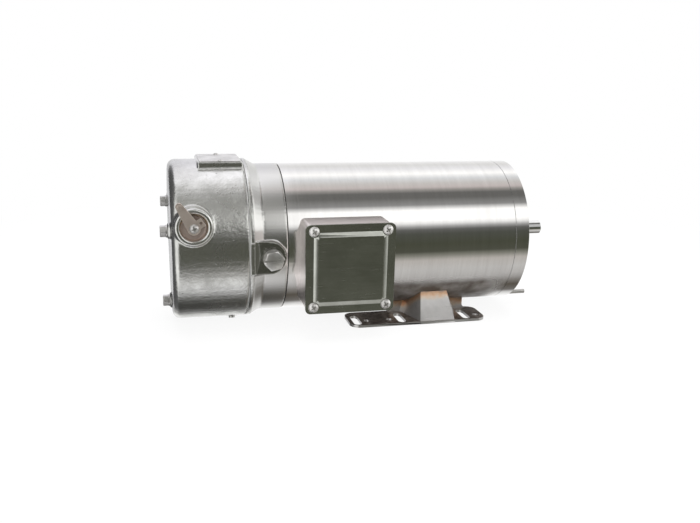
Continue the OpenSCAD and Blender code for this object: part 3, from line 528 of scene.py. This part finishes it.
def startMaterial(name, metallic=1.0):
    material = bpy.data.materials.new(name)
    tree = nodeTree(material)
    surface = addNode(tree, "ShaderNodeBsdfPrincipled")
    surface.inputs["Metallic"].default_value = metallic
    out = addNode(tree, "ShaderNodeOutputMaterial")
    tree.links.new(surface.outputs[0], out.inputs["Surface"])
    place = addNode(tree, "ShaderNodeTexCoord").outputs["Object"]
    return material, tree, surface, place


def bump(tree, surface, height, depth):
    node = addNode(tree, "ShaderNodeBump")
    node.inputs["Strength"].default_value = 1.0
    node.inputs["Distance"].default_value = depth
    feed(tree, node.inputs["Height"], height)
    tree.links.new(node.outputs[0], surface.inputs["Normal"])


# where a spot lies on the object
def fromShaft(tree, axes):
    # distance from the shaft axis
    return vectorNode(tree, "LENGTH", joinAxes(tree, Y=axes["Y"], Z=axes["Z"]))["Value"]


def facing(tree):
    # which way the surface points
    return splitAxes(tree, addNode(tree, "ShaderNodeNewGeometry").outputs["Normal"])


# materials
brushedFrame = {
    "pale": (0.75, 0.74, 0.725),
    "deep": (0.67, 0.66, 0.645),
    "rough": (0.05, 0.09),
    "grainDepth": 0.000002,
    "anisotropy": 0.72,
}

frameUnderside = {
    # the stretch above the feet: its low side is painted a darker brown, which is painted shade, and it is
    # dulled by their welds
    "before": (0.05, 0.02),            # where it fades in, ahead of the feet
    "beyond": 0.03,                    # and how far past them it fades out
    "shadeBrown": (0.11, 0.088, 0.07),
    "patches": (0.7, 0.97),            # how much the painted shade varies
    "shadeHeights": (-0.036, -0.047),
    "dullHeights": (-0.034, -0.05),
    "dull": 0.42,                      # added roughness
    "metalLoss": 1.5,
}


def undersideShadeAndDulling(tree, place, color):
    look = frameUnderside
    axes = splitAxes(tree, place)
    fadeIn = [footLow.x - ahead for ahead in look["before"]]
    start = mapRange(tree, axes["X"], *fadeIn, smooth=True)
    end = mapRange(tree, axes["X"], footHigh.x, footHigh.x + look["beyond"], 1.0, 0.0, smooth=True)
    zone = times(tree, start, end)
    # the low side over the feet is painted darker brown: painted shade
    low = mapRange(tree, axes["Z"], *look["shadeHeights"], smooth=True)
    patchy = mapRange(tree, noise(tree, place, 60.0, 3.0), 0.3, 0.65, *look["patches"])
    amount = times(tree, times(tree, low, patchy), zone)
    shadedColor = mixColor(tree, amount, color, shaded(tree, color, rgba(look["shadeBrown"])))
    dull = mapRange(tree, axes["Z"], *look["dullHeights"], 0.0, look["dull"], smooth=True)
    return shadedColor, times(tree, dull, zone)


def turnedSteel(name, look, shadedOverFeet=False):
    material, tree, surface, place = startMaterial(name)
    marks = useGroup(tree, "shaftGrain", Vector=place)
    cloud = noise(tree, place, 24.0, 3.0)
    shade = mathNode(tree, "MULTIPLY_ADD", marks["Streak"], 0.7, times(tree, cloud, 0.4))
    color = mixColor(tree, mapRange(tree, shade, 0.35, 0.75), rgba(look["pale"]), rgba(look["deep"]))
    color = shaded(tree, color, mapRange(tree, marks["Grain"], 0.3, 0.7, 0.97, 1.02))
    rough = mapRange(tree, marks["Grain"], 0.25, 0.75, *look["rough"])
    # the frame's low side over the feet takes painted shade, and is dulled
    if shadedOverFeet:
        color, dull = undersideShadeAndDulling(tree, place, color)
        rough = mathNode(tree, "ADD", rough, dull)
        metal = mathNode(tree, "MULTIPLY_ADD", dull, -frameUnderside["metalLoss"], 1.0)
        feed(tree, surface.inputs["Metallic"], metal)
    feed(tree, surface.inputs["Base Color"], color)
    feed(tree, surface.inputs["Roughness"], rough)
    surface.inputs["Anisotropic"].default_value = look["anisotropy"]
    surface.inputs["Anisotropic Rotation"].default_value = 0.25
    tangent = addNode(tree, "ShaderNodeTangent", direction_type="RADIAL", axis="X")
    tree.links.new(tangent.outputs[0], surface.inputs["Tangent"])
    bump(tree, surface, marks["Grain"], look["grainDepth"])
    return material


castSteelLook = {
    "pale": (0.66, 0.66, 0.635),
    "deep": (0.5, 0.5, 0.475),
    "pit": (0.12, 0.12, 0.11),
    "pitStrength": 0.6,
    "rough": (0.2, 0.3),
    "depth": 0.00022,
    "peel": 0.8,
    "endShade": (0.4, 0.4, 0.4),       # painted shade on the cover's flat end
    "endFacing": (-0.9, -0.97),        # how squarely a spot has to face that way
}

machinedBarrel = {
    "pale": (0.6, 0.595, 0.575),
    "rough": 0.24,
    "grain": 0.02,
    "flange": 0.0045,                  # thickness of the flange before the cone
    "cone": 0.0107,                    # length of the turned cone beside it
    "skin": (0.0006, 0.0014),          # a spot this far out belongs to the pad instead
    "edge": 0.0002,
    # painted shade on the cast pad
    "padShade": (0.6, 0.6, 0.58),
}

leverRecess = {
    # the recess round the release shaft is painted a darker brown: painted shade
    "color": (0.38, 0.31, 0.27),
    "radius": 0.0128,
    "edge": 0.0006,
    "front": (-0.06, -0.065),          # it lies on the front only
    "metal": 0.5,
}


def barrelMasks(tree, place):
    # the adapter's turned cone and barrel, and the cast pad that stands on them
    look = machinedBarrel
    axes = splitAxes(tree, place)
    coneStart = adapterLow.x + look["flange"]
    coneEnd = coneStart + look["cone"]
    profile = mapRange(tree, axes["X"], coneStart, coneEnd, coverHigh.y, frameRadius)
    above = mathNode(tree, "SUBTRACT", fromShaft(tree, axes), profile)
    onTurned = mapRange(tree, above, *look["skin"], 1.0, 0.0)
    beyond = mapRange(tree, axes["X"], coneStart - look["edge"], coneStart + look["edge"])
    turned = times(tree, onTurned, beyond)
    return turned, mathNode(tree, "SUBTRACT", beyond, turned)


def recessMask(tree, place):
    # 1 inside the recess round the release shaft
    axes = splitAxes(tree, place)
    level = joinAxes(tree, X=axes["X"], Z=axes["Z"])
    away = vectorNode(tree, "DISTANCE", level, (releaseAxis.x, 0.0, releaseAxis.z))["Value"]
    reach, edge = leverRecess["radius"], leverRecess["edge"]
    inside = mapRange(tree, away, reach - edge, reach + edge, 1.0, 0.0)
    return times(tree, inside, mapRange(tree, axes["Y"], *leverRecess["front"]))


def fade(tree, amount, first, second):
    # a number that goes from first to second
    return mathNode(tree, "MULTIPLY_ADD", amount, mathNode(tree, "SUBTRACT", second, first), first)


def castSteel(name, look, machined=False):
    material, tree, surface, place = startMaterial(name)
    skin = useGroup(tree, "castSkin", Vector=place, Peel=look["peel"])
    patch = mapRange(tree, skin["Patch"], 0.35, 0.68)
    color = mixColor(tree, patch, rgba(look["pale"]), rgba(look["deep"]))
    # the pits are painted dark: painted shade in them
    color = mixColor(tree, times(tree, skin["Pits"], look["pitStrength"]), color, rgba(look["pit"]))
    rough = mapRange(tree, skin["Patch"], 0.3, 0.7, *look["rough"])
    height = skin["Height"]
    if machined:
        turned, pad = barrelMasks(tree, place)
        # the cast pad is painted darker: painted shade
        color = mixColor(tree, pad, color, shaded(tree, color, rgba(machinedBarrel["padShade"])))
        color = mixColor(tree, turned, color, rgba(machinedBarrel["pale"]))
        rough = fade(tree, turned, rough, machinedBarrel["rough"])
        marks = useGroup(tree, "shaftGrain", Vector=place)
        height = fade(tree, turned, height, times(tree, marks["Grain"], machinedBarrel["grain"]))
    else:
        # the cover's flat end is painted darker: painted shade
        endFace = mapRange(tree, facing(tree)["X"], *look["endFacing"], smooth=True)
        color = mixColor(tree, endFace, color, shaded(tree, color, rgba(look["endShade"])))
        # the recess is painted darker and less metallic: painted shade
        recess = recessMask(tree, place)
        color = mixColor(tree, recess, color, rgba(leverRecess["color"]))
        feed(tree, surface.inputs["Metallic"], mapRange(tree, recess, 0.0, 1.0, 1.0, leverRecess["metal"]))
    feed(tree, surface.inputs["Base Color"], color)
    feed(tree, surface.inputs["Roughness"], rough)
    bump(tree, surface, height, look["depth"])
    return material


scratches = {
    # the fine ones on all the sheet
    "color": (0.85, 0.85, 0.84),
    "strength": 0.12,
}

# the lid and the walls are one sheet steel; the walls' much paler copy is painted light on the box's top
# and sides
boxLid = {
    "pale": (0.54, 0.55, 0.505),
    "deep": (0.46, 0.47, 0.425),
    "rough": (0.2, 0.28),
    "depth": 0.00001,
}

boxWalls = {
    "pale": (0.92, 0.86, 0.84),
    "deep": (0.82, 0.76, 0.74),
    "rough": (0.3, 0.38),
    "depth": 0.00001,
}

footSheet = {
    "pale": (0.55, 0.54, 0.53),
    "deep": (0.43, 0.42, 0.41),
    "rough": (0.26, 0.36),
    "depth": 0.00001,
    "metal": 0.8,
}

fastener = {
    "pale": (0.68, 0.67, 0.65),
    "deep": (0.44, 0.43, 0.41),
    "rough": (0.26, 0.38),
    "depth": 0.000008,
    "metal": 0.88,
}

leverSheet = {
    "pale": (0.76, 0.67, 0.61),
    "deep": (0.62, 0.53, 0.47),
    "rough": (0.3, 0.42),
    "depth": 0.00001,
    "metal": 0.9,
}

footShadeAndHeat = {
    # painted shade for the feet's upper sides first, then the weld's heat tint
    "shadeBrown": (0.18, 0.145, 0.125),
    "paleSpots": (0.46, 0.41, 0.38),
    "facing": (0.6, 0.93),             # how squarely a spot has to face up to take the painted shade
    "seam": 0.004,                     # distances from the frame's surface, in metres
    "waver": 0.008,
    "reach": 0.011,
    "strength": 0.85,
}


def footColor(tree, place, color):
    # the upper sides, under the motor, are painted dark brown, which is painted shade, with paler spots
    up = mapRange(tree, facing(tree)["Z"], *footShadeAndHeat["facing"], smooth=True)
    spots = mapRange(tree, noise(tree, place, 110.0, 4.0, 0.62), 0.42, 0.68)
    shadeBrown = mixColor(tree, spots, rgba(footShadeAndHeat["shadeBrown"]), rgba(footShadeAndHeat["paleSpots"]))
    color = mixColor(tree, up, color, shadeBrown)
    # and the weld to the frame leaves bands of heat tint
    radius = fromShaft(tree, splitAxes(tree, place))
    gap = mathNode(tree, "SUBTRACT", radius, frameRadius + footShadeAndHeat["seam"])
    wave = mathNode(tree, "MULTIPLY_ADD", noise(tree, place, 130.0, 2.0), footShadeAndHeat["waver"], gap)
    heat = useGroup(tree, "heatTint", Distance=wave, Reach=footShadeAndHeat["reach"])
    return mixColor(tree, times(tree, heat["Amount"], footShadeAndHeat["strength"]), color, heat["Color"])


def sheetSteel(name, look, stretch=(0.03, 1.0, 1.0), tint=None):
    material, tree, surface, place = startMaterial(name, look.get("metal", 1.0))
    marks = useGroup(tree, "sheetGrain", Vector=place, Stretch=stretch)
    patch = mapRange(tree, marks["Patch"], 0.35, 0.65)
    color = mixColor(tree, patch, rgba(look["pale"]), rgba(look["deep"]))
    scratched = times(tree, marks["Scratch"], scratches["strength"])
    color = mixColor(tree, scratched, color, rgba(scratches["color"]))
    if tint:
        color = tint(tree, place, color)
    feed(tree, surface.inputs["Base Color"], color)
    feed(tree, surface.inputs["Roughness"], mapRange(tree, marks["Grain"], 0.25, 0.75, *look["rough"]))
    bump(tree, surface, marks["Grain"], look["depth"])
    return material


plainStock = {
    # slot: name, color, darker color, roughness, then how metallic it is and the depth of its grain
    "core_steel": ("coreSteel", (0.32, 0.33, 0.35), (0.22, 0.22, 0.24), 0.45, 1.0),
    "copper": ("varnishedCopper", (0.62, 0.28, 0.12), (0.42, 0.16, 0.07), 0.35, 0.6),
    "gasket_grey": ("greyGasket", (0.4, 0.4, 0.39), (0.3, 0.3, 0.29), 0.6),
    "rubber": ("blackRubber", (0.03, 0.03, 0.03), (0.018, 0.018, 0.018), 0.7),
    "phenolic": ("brownPhenolic", (0.1, 0.06, 0.04), (0.06, 0.035, 0.025), 0.5),
    "green_screw": ("greenScrew", (0.08, 0.3, 0.1), (0.05, 0.2, 0.07), 0.35, 0.8),
    "bearing_steel": ("bearingSteel", (0.75, 0.76, 0.78), (0.68, 0.69, 0.71), 0.12, 1.0, 0.000005),
    "cage_brass": ("cageBrass", (0.72, 0.52, 0.3), (0.6, 0.42, 0.23), 0.35, 0.7),
    "brake_steel": ("brakeSteel", (0.5, 0.5, 0.51), (0.38, 0.38, 0.39), 0.4, 1.0),
    "friction": ("frictionLining", (0.2, 0.13, 0.09), (0.12, 0.08, 0.06), 0.8),
    "end_ring_aluminium": ("ringAluminium", (0.7, 0.7, 0.72), (0.6, 0.6, 0.62), 0.4, 1.0),
}


def mottled(name, color, darker, rough, metallic=0.0, depth=0.00003):
    # plain stock for the small and the hidden pieces
    material, tree, surface, place = startMaterial(name, metallic)
    grain = noise(tree, place, 300.0, 4.0, 0.6)
    color = mixColor(tree, mapRange(tree, grain, 0.35, 0.65), rgba(color), rgba(darker))
    feed(tree, surface.inputs["Base Color"], color)
    vary = mapRange(tree, grain, 0.3, 0.7, rough * 0.85, min(1.0, rough * 1.15))
    feed(tree, surface.inputs["Roughness"], vary)
    bump(tree, surface, grain, depth)
    return material


shaftLook = dict(brushedFrame, pale=(0.85, 0.85, 0.84), deep=(0.74, 0.74, 0.73))
materials = {
    "brushed_stainless": turnedSteel("turnedStainless", brushedFrame, shadedOverFeet=True),
    "shaft_steel": turnedSteel("shaftSteel", shaftLook),
    "cast_stainless": castSteel("castStainless", castSteelLook),
    "cast_adapter": castSteel("castAdapterSteel", castSteelLook, machined=True),
    "box_stainless": sheetSteel("boxStainless", boxLid),
    "box_walls": sheetSteel("boxWallStainless", boxWalls),
    "foot_stainless": sheetSteel("footStainless", footSheet, tint=footColor),
    "lever_stainless": sheetSteel("leverStainless", leverSheet, stretch=(1.0, 1.0, 0.05)),
    "plate_stainless": sheetSteel("plateStainless", fastener),
    "bright_fastener": sheetSteel("fastenerStainless", fastener, stretch=(0.1, 1.0, 1.0)),
}
for slot, stock in plainStock.items():
    materials[slot] = mottled(*stock)

slotOf = {part["node"]: part["material_slot"] for part in frame["record"]["subparts"]}
for name, piece in nodes.items():
    piece.data.materials.clear()
    piece.data.materials.append(materials[slotOf[name]])
print("materials built")


# pieces that take the place of a node
edges = {
    "angle": math.radians(32),         # sharper edges than this are softened
    "flat": math.radians(0.3),         # faces this close to level are joined
    "segments": 3,
    "weld": 0.000004,                  # points closer than this become one
}


def meshCopy(name):
    # a copy of a node's mesh, with its doubled points welded
    work = bmesh.new()
    work.from_mesh(nodes[name].data)
    bmesh.ops.remove_doubles(work, verts=work.verts, dist=edges["weld"])
    return work


def settled(piece, label, node, body):
    # the modifiers' result becomes the mesh, and the piece takes the node's place
    bpy.context.view_layer.update()
    shaped = piece.evaluated_get(bpy.context.evaluated_depsgraph_get())
    result = bpy.data.meshes.new_from_object(shaped)
    piece.modifiers.clear()
    piece.data = result
    result.name = label
    result.materials.clear()
    result.materials.append(materials[slotOf[node]])
    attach(piece, body)
    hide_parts(node)
    return piece


def newPiece(label, work):
    mesh = bpy.data.meshes.new(label)
    work.to_mesh(mesh)
    work.free()
    piece = bpy.data.objects.new(label, mesh)
    scene.collection.objects.link(piece)
    return piece


def softened(label, node, width, body="motor"):
    # sheet and turned parts: every sharp edge takes a small radius
    work = meshCopy(node)
    bmesh.ops.dissolve_limit(
        work, angle_limit=edges["flat"], verts=work.verts, edges=work.edges, use_dissolve_boundaries=False
    )
    piece = newPiece(label, work)
    piece.data.shade_smooth()
    piece.data.set_sharp_from_angle(angle=edges["angle"])
    edge = piece.modifiers.new("edge", "BEVEL")
    edge.width = width
    edge.segments = edges["segments"]
    edge.limit_method = "ANGLE"
    edge.angle_limit = edges["angle"]
    edge.harden_normals = True
    return settled(piece, label, node, body)


castings = {
    "voxel": 0.0009,
    "smoothing": 5,
}


def remeshed(label, node):
    # a cast part: its edges and corners are rounded off as a whole
    piece = newPiece(label, meshCopy(node))
    remesh = piece.modifiers.new("remesh", "REMESH")
    remesh.mode = "VOXEL"
    remesh.voxel_size = castings["voxel"]
    remesh.use_smooth_shade = True
    smooth = piece.modifiers.new("smooth", "SMOOTH")
    smooth.factor = 0.5
    smooth.iterations = castings["smoothing"]
    return settled(piece, label, node, "motor")


remeshed("castBrakeCover", "brake_cover")
adapter = remeshed("castAdapter", "brake_endbell")
adapter.data.materials[0] = materials["cast_adapter"]
print("castings remeshed")

sheetEdges = {
    # node: name of the new piece and its edge radius
    "frame_shell": ("frameTube", 0.0003),
    "drive_endbell": ("driveEndbell", 0.0005),
    "conduit_box": ("terminalBox", 0.0008),
    "box_cover": ("terminalBoxCover", 0.0014),
    "foot_front": ("frontFoot", 0.0014),
    "foot_rear": ("rearFoot", 0.0014),
    "nameplate": ("blankPlate", 0.0002),
    "inlet_plug": ("hexPlug", 0.0003),
    "cover_bolts": ("coverBolts", 0.00025),
}
for node, (label, width) in sheetEdges.items():
    piece = softened(label, node, width)
    # the walls take the paler copy of the sheet: painted light
    if node == "conduit_box":
        piece.data.materials[0] = materials["box_walls"]
softened("releaseLever", "release_lever", 0.0004, body="release")
print("edges softened")
